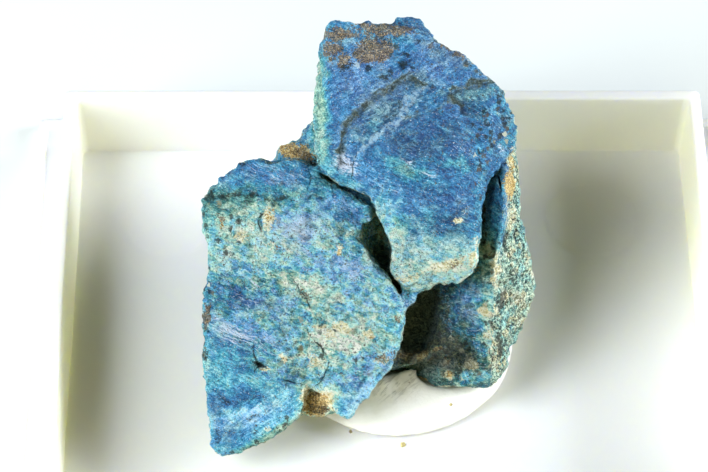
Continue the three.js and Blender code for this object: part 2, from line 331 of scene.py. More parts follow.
CRESTS = [
    # points, height, half width
    ([(-1.3, 8.6), (0.5, 10.8), (2.5, 12.4), (4.3, 13.7), (4.4, 14.9), (5.8, 16.5),
      (7.4, 17.3)], 0.28, 0.8),
    ([(4.3, 13.5), (6.4, 14.5), (9, 15.1), (10.8, 15.8)], 0.24, 1),
    ([(7.8, 8.2), (10.6, 9.6), (13.2, 9.9)], 0.2, 1.3),
    ([(-15.8, -21.2), (-12.2, -20), (-8.4, -19)], 0.25, 1.2),
]

CRACKS = [
    # points, half width, depth
    ([(-13, -12.9), (-12.9, -13.9), (-12.55, -14.8)], 0.08, 0.25),
    ([(-12.7, -14.9), (-12.3, -15.1), (-11.7, -15.3)], 0.15, 0.5),
    ([(-12.5, -15.2), (-12.9, -15.9)], 0.07, 0.2),
    ([(-5.7, -12.4), (-5, -13.1), (-4.6, -13.9)], 0.07, 0.3),
    ([(-4.2, -14.8), (-4.5, -15.8), (-5, -16.9), (-5.7, -17.5)], 0.04, 0.15),
    ([(-9.2, -16.9), (-8, -17.2), (-7, -17.3)], 0.04, 0.15),
    ([(-11.9, 2.6), (-12.3, 2), (-12.4, 1.4), (-12.1, 0.7)], 0.08, 0.35),
    ([(-6.5, 7.6), (-6.2, 6.6), (-6.7, 5.4)], 0.05, 0.15),
    ([(-8.2, -5.4), (-7.6, -6.4), (-6.9, -7.1), (-6.4, -8.4)], 0.05, 0.2),
    ([(-3.2, 9), (-2.2, 8.3), (-1.4, 8.1)], 0.04, 0.1),
    ([(-1, 9.3), (-1.4, 8.1), (-1.5, 6.9)], 0.05, 0.15),
    ([(14.6, -13.4), (15, -14.6), (14.8, -15.8)], 0.06, 0.2),
]

# Patches of colour on the face, laid over one another in this order. The hue goes from steel blue at 0
# through azure 0.24, cyan 0.46, teal 0.66 and sage green 0.86 to cream at 1. The tone goes from dark at 0
# to light at 1.
PATCH_EDGE = 0.75
PLAIN_HUE = 0.48
PLAIN_TONE = 0.5
PATCHES = [
    # u, v, half length, half width, angle, hue, tone
    # the upper plate
    (6, 14, 13.5, 13.5, 0, 0.17, 0.42), (-1.4, 16.5, 4, 8, 0, 0.1, 0.5),
    (2, 23.4, 6, 1.6, 0, 0.3, 0.56), (8.6, 12.2, 6, 2.4, 20, 0.18, 0.3),
    (9.4, 19.8, 5, 2, -30, 0.14, 0.5), (2, 13.8, 3.8, 1.3, 40, 0.3, 0.43),
    (6.4, 16.4, 3, 1, 14, 0.2, 0.5), (2.4, 5.4, 3.4, 1.6, -30, 0.1, 0.62),
    (8.2, 4.8, 6, 2.8, 0, 0.2, 0.37), (9.2, 1.4, 4.4, 1.3, 0, 0.3, 0.3),
    (4.8, 7.7, 2.4, 0.9, -24, 0.5, 0.46), (9.9, 8.7, 2.6, 0.8, -18, 0.56, 0.46),
    (7.2, 10, 3, 0.9, -20, 0.16, 0.24), (8.4, -1.6, 5.6, 1.2, 2, 0.54, 0.62),
    (7.8, -4.6, 7.4, 2.5, 12, 0.66, 0.96), (9, -3.9, 4, 0.8, 12, 0.86, 0.98),
    (7.6, -6, 6, 0.9, 14, 0.7, 0.9), (3, -0.8, 1.6, 4.4, 12, 0.72, 0.86),
    (15.2, 11, 2, 4.6, -8, 0.26, 0.42), (12.8, 16.5, 2.8, 0.8, 4, 0.42, 0.42),
    (-5.3, 14.6, 0.9, 8.8, 2, 0.78, 0.6), (5.2, 24.8, 2.8, 1, -14, 0.2, 0.36),
    # the left plate
    (-8, -8, 14, 14, 0, 0.46, 0.68), (-11.6, 6.9, 7, 2, -6, 0.2, 0.46),
    (-5.4, 5.2, 2, 2.2, -30, 0.42, 0.44), (-13, 4.4, 7, 1.1, -2, 0.68, 0.32),
    (-16.8, 3, 2, 1.8, 0, 0.62, 0.42), (-13.2, 0.4, 5.2, 2.6, 0, 0.72, 0.77),
    (-6, 0.8, 5, 3.4, -10, 0.38, 0.74), (-8, 0.8, 3, 1.3, -10, 0.12, 0.86),
    (-4.2, 3, 1.8, 0.8, -20, 0.3, 0.96), (-4.6, -6, 2.4, 1.4, -20, 0.14, 0.8),
    (-3.6, 2.8, 3.2, 1.3, -25, 0.24, 0.55), (-2.6, -1.2, 2.6, 1.4, 0, 0.62, 0.62),
    (-3.4, -3.8, 3.2, 1.4, 0, 0.24, 0.7), (-15.4, -2.7, 3.6, 1.5, 0, 0.55, 0.72),
    (-14.4, -7.2, 6, 2.3, -6, 0.26, 0.38), (-11.6, -5, 4.2, 0.8, 4, 0.58, 0.46),
    (-15.2, -11, 4.6, 1.5, -24, 0.24, 0.6), (-14, -14, 4.6, 1.9, -20, 0.34, 0.45),
    (-7.6, -9.8, 4.6, 2.4, -10, 0.48, 0.6), (-5.8, -6.6, 3.6, 1.8, -20, 0.74, 0.78),
    (-2.2, -12, 4.8, 2.6, 0, 0.9, 0.82), (-6.2, -14.8, 2.6, 2.2, 0, 0.7, 0.66),
    (2.8, -11, 1.5, 4.4, -20, 0.62, 0.66), (1.4, -7.2, 2.8, 1.6, -30, 0.42, 0.68),
    (-8.6, -16.8, 5, 1.4, 0, 0.5, 0.52), (-12.5, -20.8, 6.6, 3.6, 18, 0.36, 0.72),
    (-15.5, -18.9, 3.8, 1.2, 8, 0.22, 0.36), (-14.4, -21.4, 3, 1.1, 16, 0.3, 0.86),
    (-16, -23.6, 2.6, 2, 20, 0.26, 0.55), (-11, -23.4, 4, 0.7, 28, 0.8, 0.56),
    (0, -17.4, 2.4, 4, -28, 0.28, 0.78), (-0.8, -17.2, 0.5, 1.8, -25, 0.28, 0.4),
    (-5.5, -19.6, 1.9, 2.2, 0, 0.95, 1), (4.9, -7.4, 1, 1.6, 20, 0.22, 0.58),
]
# The same for the block, the wedge and the wall behind the slit, on what is deeper than the plates. The
# block's dark tones are painted shade under the overhanging upper plate.
DEEP_PATCHES = [
    (9.8, -11, 7, 9.5, 0, 0.58, 0.1), (9, -14, 4.8, 2.8, -14, 0.86, 0.08),
    (12.4, -8, 1.8, 3.6, 0, 0.32, 0.54), (13.6, -12.2, 0.9, 2.4, 0, 0.4, 0.5),
    (6, -14.2, 2.2, 1.4, 0, 0.84, 0.12), (11.6, -16.6, 3.6, 0.9, 0, 0.64, 0.5),
    (14.5, -9.4, 0.8, 4.6, 0, 0.86, 0.72), (15.2, 4.4, 1.6, 5, 0, 0.16, 0.7),
    (14.6, -1.8, 0.9, 1.4, 0, 0.86, 0.9),
]

# Other marks on the face: how soft their edges are, and each one's u, v, half length, half width, angle
# and strength.
MARKS = {
    "cream": (0.75, [
        (9.6, -3.4, 2.8, 0.6, 14, 0.8), (5, -5, 2.2, 0.6, 8, 0.7), (12.6, -2.4, 0.4, 2, -8, 0.9),
        (10.8, 1.6, 0.45, 0.3, 0, 1), (11.6, 2.7, 0.5, 0.2, 0, 0.6), (-11.2, 1.9, 0.8, 1.3, -14, 0.95),
        (-14.4, -0.1, 0.8, 0.5, 0, 0.7), (-11, -1.4, 0.9, 0.35, 0, 0.5), (-3.1, -1.9, 0.5, 0.6, 0, 0.8),
        (-5, -10.5, 0.8, 0.35, 10, 0.8), (-2.6, -10.7, 1.1, 0.5, -25, 0.95),
        (-3.9, -11.8, 0.8, 0.8, 0, 0.7), (0.6, -11.4, 0.6, 0.75, 0, 0.95),
        (-6, -14.6, 0.8, 0.9, 10, 0.65), (-9.8, -14.1, 0.6, 0.35, -10, 0.9),
        (-11.7, -15.6, 0.5, 0.3, 0, 1), (2, -14.4, 1, 0.7, 0, 0.6), (-7, -19.3, 0.5, 1.6, -4, 1),
        (-4.2, -19.2, 0.5, 1.8, 32, 1), (14.2, -9, 0.85, 0.6, 0, 1.1), (14.1, -11.9, 0.3, 0.25, 0, 1),
        (12.6, -15.4, 0.75, 0.55, 0, 1), (10.2, -16.7, 0.7, 0.35, 0, 0.9),
        (9.6, -18.3, 3.4, 0.4, -2, 0.7), (15.3, -3.4, 0.5, 2, 0, 0.8), (17.2, 2.4, 0.8, 2.2, 0, 0.6),
        (15.6, -9, 0.5, 1.2, 0, 0.6), (15.3, -4.6, 0.4, 1.6, 0, 1), (16.6, -7, 0.5, 0.7, 0, 0.8),
        (15, -12.2, 0.35, 1.8, 0, 0.7)]),
    "ochre": (0.6, [
        (17, 6, 0.8, 1.6, 0, 1.2), (17.4, 8.8, 0.4, 1, 0, 0.8), (-3.1, -2.2, 0.3, 0.4, 0, 0.7),
        (12.9, -3.9, 0.3, 0.5, 0, 0.5), (-8.4, 10, 2.4, 0.9, -16, 1), (-5.7, -19.8, 1.3, 1.5, 0, 1.3),
        (-11, 2.3, 0.4, 0.8, -14, 0.5), (-16.8, 1.2, 0.25, 0.4, 0, 0.6),
        (0.6, -11.7, 0.3, 0.25, 0, 0.6), (5.4, -13.7, 0.7, 0.5, 0, 1.4), (6.7, -14.2, 0.5, 0.4, 0, 1.3),
        (4.4, -14.2, 0.5, 0.4, 0, 1.3), (8.4, -13.4, 0.5, 0.4, 0, 1.1), (9.6, -14.9, 0.6, 0.4, 0, 1),
        (10.2, -16.5, 0.5, 0.35, 0, 0.9), (-9.8, -14.2, 0.3, 0.2, 0, 0.5)]),
    "brown": (0.5, [
        (-3.1, 23.4, 2.1, 0.8, 0, 1), (2.4, 23.9, 3.2, 0.8, -4, 0.95), (-3.7, 21.5, 1.1, 1, 20, 1),
        (0.9, 21.3, 2.4, 1.4, 4, 1), (-2.4, 20.2, 0.6, 0.8, 30, 0.9), (0.2, 22.6, 1, 0.5, 60, 0.8),
        (9.4, 22, 0.6, 0.5, 0, 0.8), (11, 21, 0.8, 0.4, -25, 0.7), (10.5, -3.5, 0.28, 0.22, 0, 0.9),
        (9.5, 1.8, 0.2, 0.25, 0, 0.8), (-16.7, 1.8, 0.3, 0.5, 60, 0.9), (-10.1, -1.4, 0.4, 0.3, 0, 0.8),
        (-7, -7.2, 0.5, 0.9, 20, 0.6), (-18.4, -9.4, 0.5, 1.2, 0, 1), (1.9, -14.2, 0.6, 0.5, 20, 0.75),
        (3.8, -9.8, 0.3, 0.45, 0, 0.8), (-5.4, -20.3, 1.3, 0.6, 0, 0.8),
        (-5.9, -18.8, 0.6, 0.9, 0, 0.55), (-7.2, 9.5, 1.6, 0.6, -30, 0.8),
        (4.8, -13.9, 2, 1.1, 10, 0.5), (8.6, -14.6, 1.6, 1, 30, 0.4), (-5.2, -13, 0.5, 0.4, 0, 0.55),
        (-12, -15.6, 0.5, 0.4, 0, 0.6)]),
    "white": (0.75, [
        (-2.3, 8.1, 1.7, 1.1, -35, 1.1), (-12.4, -5.8, 1.6, 0.3, -18, 0.8),
        (-15.4, -11.4, 4.4, 1.2, -26, 0.8), (-8, 0.2, 3.6, 1.6, -10, 0.6),
        (-15.6, -2.4, 2.4, 1.2, 0, 0.4), (-0.8, -4.6, 2, 1.4, -20, 0.5),
        (4.9, 8.5, 1.3, 0.35, -24, 0.9), (7.2, 6.9, 1, 0.4, -30, 0.8), (11.2, 10, 1.4, 0.45, -24, 0.6),
        (-13.2, -20.4, 3, 0.8, 18, 0.55), (2.4, -8.8, 1.6, 2, 0, 0.35), (2.6, 5.8, 2.4, 1, -20, 0.5),
        (-10.6, 7, 4, 1.2, -14, 0.5), (15.9, 10.3, 1.4, 0.3, -25, 0.7),
        (4.7, -7.8, 0.2, 0.9, 30, 0.9)]),
    "dark": (0.5, [
        (0.5, 19.3, 0.45, 0.45, 0, 1), (2, 18.4, 0.5, 0.5, 0, 0.8), (2.7, 19.1, 0.28, 0.28, 0, 0.8),
        (4.4, 19.7, 0.45, 0.5, 20, 0.9), (4.9, 20.9, 0.35, 0.35, 0, 0.9),
        (5.6, 19.5, 0.3, 0.25, 0, 0.8), (-2.1, 19.4, 0.5, 0.4, 0, 0.8), (5.2, 20.2, 0.3, 0.3, 0, 0.8),
        (-9.6, 4.2, 0.9, 0.35, 8, 1.1), (-12.4, 4.5, 2.2, 0.26, -4, 0.65),
        (-15.8, 4.7, 1.4, 0.3, 6, 0.7), (-17.9, 4.6, 0.5, 0.5, -40, 0.8),
        (-14.9, 8.6, 0.7, 0.45, -20, 1), (-5.6, 8.5, 0.6, 1, 30, 0.6), (-12.3, -15, 0.4, 0.3, 0, 1.1),
        (-16.2, -19.2, 0.8, 0.35, -10, 0.6), (-17.3, -23.2, 0.3, 0.8, 10, 0.7),
        (-13, -21.2, 0.8, 0.25, 10, 0.6), (9.6, -12.4, 1.2, 0.7, -30, 0.6),
        (11.2, -16.2, 0.3, 0.9, 0, 0.9), (16.3, -7.4, 0.35, 1.4, -12, 0.9), (16, -13, 0.4, 1.4, 0, 0.9),
        (17.6, -5, 0.5, 0.9, 0, 0.6), (16.4, -0.6, 0.4, 1.2, 0, 0.8), (-16.9, 6.9, 0.5, 0.4, 0, 0.9),
        (-18.6, -14, 0.4, 1.2, 0, 0.6), (4.1, 15.2, 0.25, 0.8, 0, 0.6)]),
    # where the blue is greyed by a thin chalky film
    "chalky": (0.9, [
        (2.2, 14.6, 3.6, 1.7, 42, 1), (-0.4, 11.6, 1.2, 2.6, -10, 0.6), (12.8, 16.6, 3, 1, 4, 0.9),
        (8.6, 21.6, 3.4, 1.2, -30, 0.6), (4.6, 18, 2.4, 0.8, 10, 0.7), (7.6, -1.2, 5.4, 1.2, 4, 0.5),
        (-8.6, -0.4, 4.4, 2, -10, 0.3), (-15.4, -11.2, 4, 1.4, -24, 0.4), (12, -9, 3, 5, 0, 0.2)]),
    # where dots of other minerals are scattered
    "speckled": (0.8, [
        (14, 11.4, 1, 3.6, 0, 1.3), (16.2, 13.6, 0.9, 2.6, 20, 1), (13.7, 7.4, 0.5, 1.8, 0, 0.9),
        (-18.8, -5, 0.8, 10, 0, 0.8), (-15, 0.6, 3.6, 3, 0, 0.35), (-3, -12.4, 4.6, 3, 0, 0.25),
        (11, 20.8, 3.6, 0.5, -38, 0.8), (16, 17.2, 1.8, 0.5, -60, 0.8), (11, -14.4, 4, 2.2, 0, 0.8),
        (-11, -23.2, 4, 0.6, 28, 0.7), (2, 22.6, 5, 1.8, -4, 0.5), (14.6, -6, 0.7, 8, 3, 0.5)]),
    # where the silky fibres climb to the right, and don't fall
    "climbing": (0.5, [
        (2, 17, 12, 6, 25, 1), (-12, -21, 7, 3, 15, 1)]),
    # where the stone is broken in small crumpled flakes
    "crumpled": (0.35, [
        (-6.5, -5, 14, 10, 0, 1), (-5, -13.5, 9, 5, 0, 1), (7.5, -4, 6, 2.6, 0, 0.8),
        (10.5, -12, 5.5, 6.5, 0, 1)]),
}

# Deep places that little light reaches, darkened with painted shade: the hollow, the foot of the block,
# the wide crack and the slit.
RECESSES = [
    (5, -9.4, 3.6, 5.6, 6, 1), (7.3, -10.9, 3, 6.4, 8, 0.8), (2.4, -15, 3, 1.6, 20, 0.8),
    (9.2, -13.6, 4.6, 2.5, -20, 0.78), (2.2, -2.6, 1.1, 2.6, 22, 0.9), (13.5, 3.2, 0.45, 4.6, -3, 1),
]

# ---- the stone ----

VOXEL = 0.24
RELAXING = 5
FACE_TRIANGLES = 190000

# How far each kind of roughness moves the surface, in millimetres, and how much is added to that where
# the stone is crumpled or has a granular rind.
BROAD = 0.2
BROAD_CRUMPLED = 0.14
FLAKES = 0.04
FLAKES_CRUMPLED = 0.34
FINE = 0.035
FINE_CRUMPLED = 0.08
FINE_RIND = 0.05
CRUST = 0.26
SUNKEN_RIND = 0.1
SILK = 0.07
FACE_WANDER = 0.3
CRACK_SLOPE = 0.15
DARK_PITS = 0.22
CREAM_LUMPS = 0.2

# The slit's right wall climbs towards the ridge, so that some light falls on it.
SLIT_WALL = (15.6, 3.8)
SLIT_WALL_SIZE = (1.1, 5.4)
SLIT_CLIMB = 2.4


def remesh(obj, voxel):
    modifier = obj.modifiers.new("remesh", "REMESH")
    modifier.mode = "VOXEL"
    modifier.voxel_size = voxel * MM
    apply_modifiers(obj)


def copy_of(node, name):
    obj = bpy.data.objects.new(name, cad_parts[node].data.copy())
    obj.data.materials.clear()
    return link(obj)


def face_height(uvw):
    """How far the face stands out, in millimetres, from its steps, crests and cracks."""
    uv = uvw[:, :2] + FACE_WANDER * wander(uvw, 1.4, seed=31)
    height = np.zeros(len(uv))
    for points, drop, reach in STEPS:
        distance, signed = to_line(uv, points)
        below = np.where(signed < 0, distance, 0)
        height -= drop * smoothstep(0, 0.5, below) * (1 - smoothstep(0.4, reach, below))
    for points, rise, width in CRESTS:
        height += rise * stripe(uv, points, width)
    for points, width, depth in CRACKS:
        height -= depth * stripe(uv, points, CRACK_SLOPE + width * 1.4)
    height -= DARK_PITS * marks(uv, "dark")
    height += CREAM_LUMPS * marks(uv, "cream")
    return height


def shape_stone(obj):
    """Turns the plain faceted stone into rough broken rock."""
    remesh(obj, VOXEL)
    relax(obj, RELAXING)
    normals = get_normals(obj)
    uvw = to_stone(get_points(obj))
    facing = normals @ AXES[:, 2]
    face = smoothstep(0.35, 0.7, facing) * smoothstep(-2.4, -1.2, uvw[:, 2])
    rind = 1 - face
    uneven = marks(uvw[:, :2], "crumpled") * face
    crumpled = np.maximum(uneven, rind)
    along = np.stack([uvw[:, 0] * 0.25 + uvw[:, 1] * 0.12, uvw[:, 1], uvw[:, 2]], 1)
    broad = layered(uvw, 3, layers=2, seed=1) * (BROAD + BROAD_CRUMPLED * uneven)
    flakes = np.abs(noise(uvw, 1.8, seed=3)) * (FLAKES + FLAKES_CRUMPLED * crumpled)
    fine = layered(uvw, 0.8, layers=2, seed=5) * (FINE + FINE_CRUMPLED * crumpled + FINE_RIND * rind)
    crust = (1 - np.abs(layered(uvw, 1.2, layers=2, seed=9))) * CRUST * rind
    silk = noise(along, 0.55, seed=14) * SILK * face
    move = broad - flakes + fine + crust - SUNKEN_RIND * rind + silk + face * face_height(uvw)
    moved = uvw + move[:, None] * (normals @ AXES)
    wall = blob(uvw[:, :2], SLIT_WALL, SLIT_WALL_SIZE, -4, 0.6) * smoothstep(0.1, 0.4, facing)
    moved[:, 2] += SLIT_CLIMB * wall * smoothstep(-1.4, -2.6, uvw[:, 2])
    set_points(obj, from_stone(moved))


def thin_out(obj, target):
    """Keeps the face fine and makes the back coarser."""
    uvw = to_stone(get_points(obj))
    facing = get_normals(obj) @ AXES[:, 2]
    hidden = 1 - smoothstep(-0.2, 0.4, facing) * smoothstep(-12, -6, uvw[:, 2])
    group = obj.vertex_groups.new(name="hidden")
    for level in np.linspace(0, 1, 6):
        members = np.nonzero(np.round(hidden * 5) / 5 == level)[0]
        group.add(members.tolist(), float(level), "REPLACE")
    triangles = sum(len(p.vertices) - 2 for p in obj.data.polygons)
    modifier = obj.modifiers.new("thin", "DECIMATE")
    modifier.ratio = min(1.0, target / triangles)
    modifier.vertex_group = group.name
    apply_modifiers(obj)
    obj.vertex_groups.clear()


def pit_depth(obj, rounds, reach):
    """-1 on points that stand out from the stone round them, and 1 in pits."""
    points = get_points(obj)
    normals = get_normals(obj)
    relax(obj, rounds)
    depth = np.sum((get_points(obj) - points) * normals, axis=1) / MM
    set_points(obj, points)
    return np.clip(depth / reach, -1, 1)


def patch_colours(uv, w):
    """The hue and the tone at each vertex."""
    hue = np.full(len(uv), PLAIN_HUE)
    tone = np.full(len(uv), PLAIN_TONE)
    deeper = smoothstep(-2.2, -3.4, w)
    for patches, share in ((PATCHES, 1), (DEEP_PATCHES, deeper)):
        for u, v, length, width, angle, its_hue, its_tone in patches:
            cover = share * blob(uv, (u, v), (length, width), angle, PATCH_EDGE)
            hue += cover * (its_hue - hue)
            tone += cover * (its_tone - tone)
    return hue, tone


def nearest_crack(uv):
    """Signed distance from the nearest crack over its half width, and 1 close to it or 0 further off."""
    pairs = []
    for points, width, _ in CRACKS:
        distance, signed = to_line(uv, points)
        pairs.append((distance, signed / width))
    distance, side = nearest(pairs)
    return side, 1 - smoothstep(0.35, 0.6, distance)


def paint_stone(obj):
    """Works out the colour and the marks at each vertex."""
    uvw = to_stone(get_points(obj))
    w = uvw[:, 2]
    facing = get_normals(obj) @ AXES[:, 2]
    uv = uvw[:, :2] + (0.5 * wander(uvw, 1.2, seed=41) + 0.2 * wander(uvw, 0.5, seed=43))
    hue, tone = patch_colours(uv, w)
    face = smoothstep(0.05, 0.45, facing)
    right = smoothstep(14.6, 15.8, uvw[:, 0] - 0.02 * uvw[:, 1]) * smoothstep(-1, -2.4, w)
    front = smoothstep(-7.4, -6, w + noise(uvw, 2, seed=47)) * smoothstep(-0.5, -0.1, facing)
    slit = blob(uvw[:, :2], (15, 4.4), (1.8, 7)) * front
    low = smoothstep(-1.6, -3.6, w) * smoothstep(-0.6, -0.2, facing)
    # painted shade below the steps and below one crest, strongest along each line
    ridges = [
        shadow_line(uv, STEPS[0][0], 0.5, 1.5),
        shadow_line(uv, STEPS[1][0], 0.5, 1.2),
        0.7 * shadow_line(uv, CRESTS[1][0], 0.4, 0.8),
    ]
    side, reach = nearest_crack(uvw[:, :2] + 0.12 * wander(uvw, 0.7, seed=45))
    layers = {
        "stone_mm": uvw,
        "hue": hue,
        "tone": tone,
        "rind": np.maximum(1 - face, right) * (1 - slit),
        # where the recesses get painted shade
        "recess_shade": blobs(uv, RECESSES, 0.4) * low,
        "behind": smoothstep(-5.5, -9.5, w) * smoothstep(0.5, 0, facing),
        "deep": smoothstep(-5, -6.4, w) * smoothstep(3.2, 4.4, uvw[:, 0]),
        # where the steps get painted shade
        "step_shading": np.maximum.reduce(ridges) * face,
        # where the crest gets a painted highlight
        "crest": stripe(uv, CRESTS[0][0], 0.6) * face,
        # how deep each place lies: pits get dirt and painted shade, and points that stand out a painted
        # highlight
        "pits": pit_depth(obj, 5, 0.12),
        "crack_side": side,
        "crack_reach": reach,
    }
    layers.update((name, marks(uv, name) * front) for name in MARKS)
    for name, values in layers.items():
        store(obj, name, values)


# ---- materials ----

def srgb(red, green, blue):
    """A colour given as 0 to 255, as the shader wants it."""
    def linear(value):
        value /= 255
        return value / 12.92 if value <= 0.04045 else ((value + 0.055) / 1.055) ** 2.4
    return (linear(red), linear(green), linear(blue), 1)


class Value:
    """What a node gives out. Sums with it are written plainly, and become nodes too."""

    def __init__(self, nodes, socket):
        self.nodes = nodes
        self.socket = socket

    def __getitem__(self, output):
        """Another output of the same node."""
        return Value(self.nodes, self.socket.node.outputs[output])

    def __add__(self, other):
        return self.nodes.math("ADD", self, other)

    def __sub__(self, other):
        return self.nodes.math("SUBTRACT", self, other)

    def __rsub__(self, other):
        return self.nodes.math("SUBTRACT", other, self)

    def __mul__(self, other):
        return self.nodes.math("MULTIPLY", self, other)

    def __abs__(self):
        return self.nodes.math("ABSOLUTE", self, 0)

    __radd__ = __add__
    __rmul__ = __mul__


class Nodes:
    """A short way to write a node tree."""

    def __init__(self, name):
        self.material = bpy.data.materials.new(name)
        self.material.use_nodes = True
        self.tree = self.material.node_tree
        self.shader = self.tree.nodes["Principled BSDF"]

    def set(self, inputs, values):
        for key, value in values.items():
            if isinstance(value, Value):
                self.tree.links.new(value.socket, inputs[key])
            else:
                inputs[key].default_value = value

    def add(self, kind, output, values, **settings):
        """Makes a node, and gives back one of its outputs."""
        node = self.tree.nodes.new("ShaderNode" + kind)
        for key, value in settings.items():
            setattr(node, key, value)
        self.set(node.inputs, values)
        return Value(self, node.outputs[output])

    def finish(self, values):
        """Sets what the shader reads, and gives back the material."""
        self.set(self.shader.inputs, values)
        return self.material

    def read(self, name, output="Fac"):
        return self.add("Attribute", output, {}, attribute_name=name)

    def place(self):
        """Where the surface is in its object, in metres."""
        return self.add("TexCoord", "Object", {})

    def math(self, operation, a, b, clamp=False):
        return self.add("Math", 0, {0: a, 1: b}, operation=operation, use_clamp=clamp)

    def step(self, value, low, high):
        values = {"Value": value, "From Min": low, "From Max": high}
        return self.add("MapRange", "Result", values, interpolation_type="SMOOTHSTEP")

    def noise(self, vector, scale, detail=3, rough=0.6, distortion=0):
        values = {"Vector": vector, "Scale": scale, "Detail": detail, "Roughness": rough}
        return self.add("TexNoise", "Fac", values | {"Distortion": distortion})

    def spread(self, value, gain):
        """Noise stays near 0.5: this stretches it over 0 to 1."""
        return self.step(value, 0.5 - 0.5 / gain, 0.5 + 0.5 / gain)

    def bent(self, vector, scale, distance):
        """Coordinates pushed about by a noise."""
        push = self.add("TexNoise", "Color", {"Vector": vector, "Scale": scale, "Detail": 2})
        push = self.add("VectorMath", 0, {0: push, 1: (distance,) * 3}, operation="MULTIPLY")
        return self.add("VectorMath", 0, {0: vector, 1: push})

    def stretched(self, vector, scale, angle):
        """Coordinates turned and scaled, so that a noise makes flakes or fibres."""
        turn = (0, 0, math.radians(angle))
        turned = self.add("Mapping", 0, {"Vector": vector, "Rotation": turn})
        return self.add("Mapping", 0, {"Vector": turned, "Scale": scale})

    def strands(self, vector, scale, angle, *settings):
        return self.noise(self.stretched(vector, scale, angle), 1, *settings)

    def cells(self, vector, scale):
        """Three random numbers for each cell, as outputs 0, 1 and 2."""
        colour = self.add("TexVoronoi", "Color", {"Vector": vector, "Scale": scale})
        return self.add("SeparateColor", 0, {"Color": colour})

    def covered(self, name, fine, coarse, low, high, ragged=1):
        """How far a mark covers the stone, with its edge broken up by two noises."""
        cover = self.read(name) + 0.5 * ragged * fine + 0.3 * ragged * coarse - 0.4 * ragged
        return self.step(cover, low, high)

    def ramp(self, value, stops):
        colour = self.add("ValToRGB", "Color", {"Fac": value})
        elements = colour.socket.node.color_ramp.elements
        while len(elements) < len(stops):
            elements.new(0.5)
        for element, (place, shade) in zip(elements, stops):
            element.position = place
            element.color = srgb(*shade)
        return colour

    def mix(self, factor, a, b):
        return self.add("Mix", 2, {"Factor": factor, 6: a, 7: b}, data_type="RGBA")

    def bump(self, height, distance, strength=1):
        values = {"Height": height, "Distance": distance, "Strength": strength}
        return self.add("Bump", "Normal", values)


HUES = [
    # the colours of one hue, from dark to light, and where it takes over from the hue before it
    ([(22, 60, 114), (46, 98, 156), (78, 132, 188), (120, 174, 224), (190, 222, 250)], None),
    ([(6, 54, 94), (18, 90, 138), (36, 124, 176), (80, 162, 214), (156, 212, 246)], (0, 0.24)),
    ([(8, 70, 94), (28, 114, 144), (60, 158, 184), (106, 200, 220), (178, 238, 248)], (0.2, 0.46)),
    ([(8, 50, 52), (30, 98, 100), (70, 146, 144), (122, 196, 186), (190, 238, 222)], (0.42, 0.66)),
    ([(30, 64, 54), (76, 124, 104), (128, 178, 152), (180, 218, 190), (230, 246, 222)], (0.62, 0.86)),
    ([(98, 100, 68), (156, 164, 122), (204, 214, 172), (234, 242, 210), (250, 252, 238)], (0.82, 1.04)),
]
TONE_STOPS = (0.06, 0.3, 0.5, 0.7, 0.94)

# Colours that go with a noise, each with its place from 0 to 1.
CHALK = [(0.1, (44, 66, 68)), (0.35, (90, 118, 118)), (0.6, (146, 168, 162)), (0.9, (224, 234, 226))]
EARTH = [(0.15, (30, 26, 12)), (0.35, (96, 88, 48)), (0.55, (176, 166, 100)), (0.8, (240, 228, 176))]
STAIN = [(0.1, (40, 32, 18)), (0.4, (112, 88, 50)), (0.7, (186, 160, 104))]
# painted shade below the steps, then the dark line of each step, partly its own colour and partly painted
# shade
STEP_SHADE = [(0.1, (38, 52, 40)), (0.45, (92, 108, 90)), (0.8, (148, 158, 132))]
STEP_LINE_AND_SHADE = [(0.2, (12, 28, 26)), (0.6, (40, 56, 44)), (0.9, (96, 108, 82))]
DOTS = [(0.4, (10, 26, 24)), (0.6, (26, 50, 38)), (0.74, (72, 54, 34)), (0.86, (136, 128, 84)),
        (0.96, (226, 230, 204))]
CREAM = [(0.1, (128, 112, 62)), (0.26, (206, 192, 122)), (0.44, (242, 232, 174)), (0.68, (254, 252, 226))]
OCHRE = [(0.16, (70, 44, 10)), (0.36, (170, 122, 44)), (0.54, (238, 196, 92)), (0.8, (255, 244, 190))]
BROWN = [(0.15, (38, 30, 16)), (0.36, (80, 64, 38)), (0.58, (126, 104, 64)), (0.82, (196, 170, 122))]
# painted shade round the hollow and in the other recesses, then the lighter colour deep inside the hollow
HOLLOW_SHADE = [(0.3, (14, 22, 16)), (0.58, (34, 48, 36)), (0.85, (112, 116, 74))]
DEEP_HOLLOW = [(0.2, (54, 74, 80)), (0.5, (108, 130, 132)), (0.8, (170, 186, 176))]

# Among these, the flecks, the crease, the sparkle and the crest's colour are painted light or shade. The
# tuft's colour is white fibre with painted sheen, and the pit's is dirt with painted shade.
HIGHLIGHT_FLECK = srgb(222, 240, 246)
SHADE_FLECK = srgb(22, 74, 88)
CREASE_SHADE = srgb(20, 48, 50)
PEPPER = srgb(10, 38, 48)
TUFT_AND_SHEEN = srgb(226, 236, 250)
SPARKLE_HIGHLIGHT = srgb(238, 250, 252)
CREST_HIGHLIGHT = srgb(178, 210, 226)
PALE_CRUST = srgb(236, 246, 236)
BLUE_GRAIN = srgb(84, 116, 134)
DARK_GRAIN = srgb(14, 30, 26)
HAIRLINE = srgb(14, 26, 24)
PIT_DIRT_AND_SHADE = srgb(16, 46, 54)

NOISES = {
    # name: how far it is spread, scale, detail, roughness, distortion
    "broad": (2.6, 0.3, 3, 0.55, 0.5),
    "patchy": (2.6, 0.45, 1.5, 0.5, 0.8),
    "blotch": (2.6, 1.1, 1.5, 0.5, 0.5),
    "other": (2.8, 3.4, 4, 0.7, 0.5),
    "grain": (2.6, 4.6, 3, 0.75, 0.3),
    "sand": (2.4, 7.5, 2, 0.7, 0),
}


